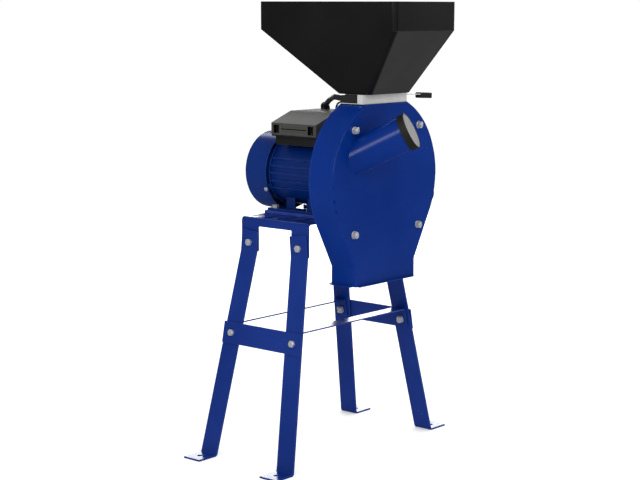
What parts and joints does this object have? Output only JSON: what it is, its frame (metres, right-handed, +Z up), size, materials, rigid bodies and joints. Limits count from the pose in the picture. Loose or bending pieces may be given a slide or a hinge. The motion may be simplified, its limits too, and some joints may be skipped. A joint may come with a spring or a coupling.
{
  "type": "hammer mill",
  "caption": "Electric grain hammer mill: black hopper over a round blue grinding drum, flange motor behind it, square spout, cob inlet, all on a splayed four-leg steel stand.",
  "frame": {"origin": "on the floor, midway between the four foot holes", "axes": "+Z up; the drum's cover faces -Y and the motor stands behind it towards +Y; the gate handle points to +X"},
  "size_m": [0.567, 0.4388, 0.9455],
  "materials": {
    "stand_paint": "semi-gloss",
    "zinc_fasteners": "zinc plated",
    "dark_screws": "blackened",
    "motor_paint": "semi-gloss",
    "drum_paint": "semi-gloss",
    "bearing_steel": "ground",
    "laminations": "matte",
    "copper": "varnished",
    "fan_plastic": "matte",
    "box_base_plastic": "matte",
    "box_cover_plastic": "satin",
    "stud_brass": "bright",
    "capacitor_shell": "matte",
    "start_green": "gloss",
    "stop_red": "gloss",
    "sieve_steel": "perforated sheet",
    "rotor_steel": "machined",
    "hammer_steel": "hardened plate",
    "cap_rubber": "matte",
    "cap_grey": "satin",
    "gate_sheet": "bright zinc sheet",
    "grip_plastic": "matte",
    "hopper_plastic": "satin",
    "interlock_plastic": "matte",
    "lead_sheath": "satin"
  },
  "bodies": {
    "machine": {"stand_top": "stand_paint", "leg_front_left": "stand_paint", "leg_rear_left": "stand_paint", "leg_front_right": "stand_paint", "leg_rear_right": "stand_paint", "end_braces": "stand_paint", "side_strip_front": "stand_paint", "side_strip_rear": "stand_paint", "motor_rails": "stand_paint", "leg_bolts": "zinc_fasteners", "leg_nuts": "zinc_fasteners", "motor_bolts": "zinc_fasteners", "motor_nuts": "zinc_fasteners", "cowl_screws": "zinc_fasteners", "cover_studs": "zinc_fasteners", "cover_nuts": "zinc_fasteners", "flange_screws": "zinc_fasteners", "hopper_rivets": "zinc_fasteners", "box_screws": "dark_screws", "motor_frame": "motor_paint", "front_end_shield": "motor_paint", "rear_end_shield": "motor_paint", "fan_cowl": "motor_paint", "housing_back": "drum_paint", "housing_rim": "drum_paint", "front_cover": "drum_paint", "cob_tube": "drum_paint", "motor_bearings": "bearing_steel", "stator_core": "laminations", "stator_windings": "copper", "terminal_box_base": "box_base_plastic", "terminal_board": "box_base_plastic", "switch_body": "box_base_plastic", "cable_glands": "box_base_plastic", "terminal_box_cover": "box_cover_plastic", "terminal_studs": "stud_brass", "capacitors": "capacitor_shell", "sieve": "sieve_steel", "sieve_supports": "sieve_steel", "gate_housing": "gate_sheet", "hopper": "hopper_plastic", "interlock_switch": "interlock_plastic", "interlock_lead": "lead_sheath", "interlock_wire": "lead_sheath"},
    "rotor": {"motor_shaft": "bearing_steel", "rotor_core": "laminations", "cooling_fan": "fan_plastic", "rotor_hub": "rotor_steel", "hub_bolt": "zinc_fasteners", "hammer_pins": "bearing_steel"},
    "hammer_1_body": {"hammer_1": "hammer_steel"},
    "hammer_2_body": {"hammer_2": "hammer_steel"},
    "hammer_3_body": {"hammer_3": "hammer_steel"},
    "hammer_4_body": {"hammer_4": "hammer_steel"},
    "gate": {"gate_plate": "gate_sheet", "gate_grip": "grip_plastic"},
    "cob_cap": {"cap_rim": "cap_rubber", "cap_disc": "cap_grey"},
    "start": {"start_button": "start_green"},
    "stop": {"stop_button": "stop_red"}
  },
  "joints": [
    {"name": "rotor_spin", "type": "hinge", "parent": "machine", "child": "rotor", "pos_m": [0.008, -0.1, 0.586], "axis": [0, 1, 0], "continuous": true},
    {"name": "hammer_1_swing", "type": "hinge", "parent": "rotor", "child": "hammer_1_body", "pos_m": [0.06321, -0.13, 0.64121], "axis": [0, 1, 0], "continuous": true},
    {"name": "hammer_2_swing", "type": "hinge", "parent": "rotor", "child": "hammer_2_body", "pos_m": [-0.04721, -0.138, 0.64121], "axis": [0, 1, 0], "continuous": true},
    {"name": "hammer_3_swing", "type": "hinge", "parent": "rotor", "child": "hammer_3_body", "pos_m": [-0.04721, -0.146, 0.53079], "axis": [0, 1, 0], "continuous": true},
    {"name": "hammer_4_swing", "type": "hinge", "parent": "rotor", "child": "hammer_4_body", "pos_m": [0.06321, -0.154, 0.53079], "axis": [0, 1, 0], "continuous": true},
    {"name": "gate_slide", "type": "slide", "parent": "machine", "child": "gate", "axis": [1, 0, 0], "range_m": [0, 0.11]},
    {"name": "cap_pull", "type": "slide", "parent": "machine", "child": "cob_cap", "axis": [0.4013, -0.8026, 0.4414], "range_m": [0, 0.06]},
    {"name": "start_press", "type": "slide", "parent": "machine", "child": "start", "axis": [-1, 0, 0], "range_m": [0, 0.0025], "stiffness_N_per_m": 300},
    {"name": "stop_press", "type": "slide", "parent": "machine", "child": "stop", "axis": [-1, 0, 0], "range_m": [0, 0.0025], "stiffness_N_per_m": 300}
  ]
}
